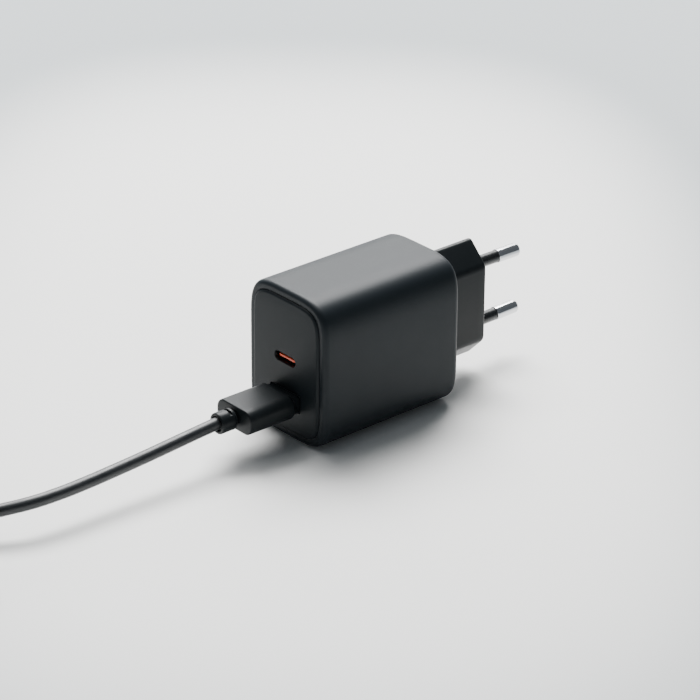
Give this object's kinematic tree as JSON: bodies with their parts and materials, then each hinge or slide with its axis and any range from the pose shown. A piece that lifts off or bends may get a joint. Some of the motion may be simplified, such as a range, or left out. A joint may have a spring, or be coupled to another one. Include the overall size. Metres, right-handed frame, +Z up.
{
  "type": "usb wall charger",
  "caption": "Upright wall charger with a flat round-pin plug block at the back, a small and a wide port in front, and a coiled lead plugged into the wide one.",
  "frame": {"origin": "centre of the charger's bounding box on the surface it stands on, the lead left out", "axes": "+Y along the plug pins, away from the ports; +Z up; +X to the right when looking along +Y"},
  "size_m": [0.05, 0.2444, 0.045],
  "materials": {
    "housing_plastic": "fine matt moulded",
    "panel_plastic": "fine matt moulded",
    "block_plastic": "satin moulded",
    "pin_nickel": "nickel plated, turned",
    "sleeve_plastic": "satin",
    "copper_alloy": "bright",
    "circuit_board": "solder mask",
    "black_resin": "moulded",
    "port_steel": "nickel plated sheet",
    "gold_contact": "gold plated",
    "orange_plastic": "moulded",
    "ferrite": "sintered",
    "yellow_tape": "polyester tape",
    "capacitor_sleeve": "shrink sleeve",
    "capacitor_can": "bare aluminium",
    "yellow_case": "moulded case",
    "blue_coating": "dipped epoxy",
    "ceramic": "glazed",
    "white_resin": "moulded",
    "silicone_pad": "soft silicone",
    "clear_film": "polyester film",
    "lead_plastic": "satin overmoulded",
    "cord_pvc": "satin extruded",
    "tie_strap": "woven hook and loop"
  },
  "bodies": {
    "charger": {"housing_shell": "housing_plastic", "front_panel": "panel_plastic", "plug_block": "block_plastic", "plug_pin_upper": "pin_nickel", "plug_pin_lower": "pin_nickel", "pin_sleeve_upper": "sleeve_plastic", "pin_sleeve_lower": "sleeve_plastic", "pin_contact_upper": "copper_alloy", "pin_contact_lower": "copper_alloy", "main_board": "circuit_board", "port_board": "circuit_board", "board_link": "black_resin", "usb_a_shell": "port_steel", "usb_a_insulator": "black_resin", "usb_a_contacts": "gold_contact", "usb_c_shell": "port_steel", "usb_c_tongue": "orange_plastic", "usb_c_contacts": "gold_contact", "transformer_core": "ferrite", "transformer_bobbin": "black_resin", "transformer_winding": "yellow_tape", "input_capacitor_upper": "capacitor_sleeve", "input_capacitor_lower": "capacitor_sleeve", "output_capacitor_rear": "capacitor_can", "output_capacitor_front": "capacitor_can", "x_capacitor": "yellow_case", "y_capacitor": "blue_coating", "choke_core": "ferrite", "choke_winding": "copper_alloy", "fuse": "ceramic", "varistor": "blue_coating", "bridge_rectifier": "black_resin", "switch_controller": "black_resin", "optocoupler": "white_resin", "port_controller": "black_resin", "output_inductor": "ferrite", "chip_resistors": "black_resin", "thermal_pad": "silicone_pad", "heat_spreader": "capacitor_can", "insulating_film": "clear_film"},
    "lead": {"lead_plug_shell": "port_steel", "lead_plug_insulator": "white_resin", "lead_plug_contacts": "gold_contact", "lead_plug_cover": "lead_plastic", "lead_strain_relief": "lead_plastic", "cord_run": "cord_pvc", "cord_coil": "cord_pvc", "cord_tie": "tie_strap", "cord_tail": "cord_pvc", "far_strain_relief": "lead_plastic", "far_plug_cover": "lead_plastic", "far_plug_shell": "port_steel", "far_plug_contacts": "gold_contact"}
  },
  "joints": [
    {"name": "lead_plug_slide", "type": "slide", "parent": "charger", "child": "lead", "axis": [0, -1, 0], "range_m": [0, 0.0125]}
  ]
}
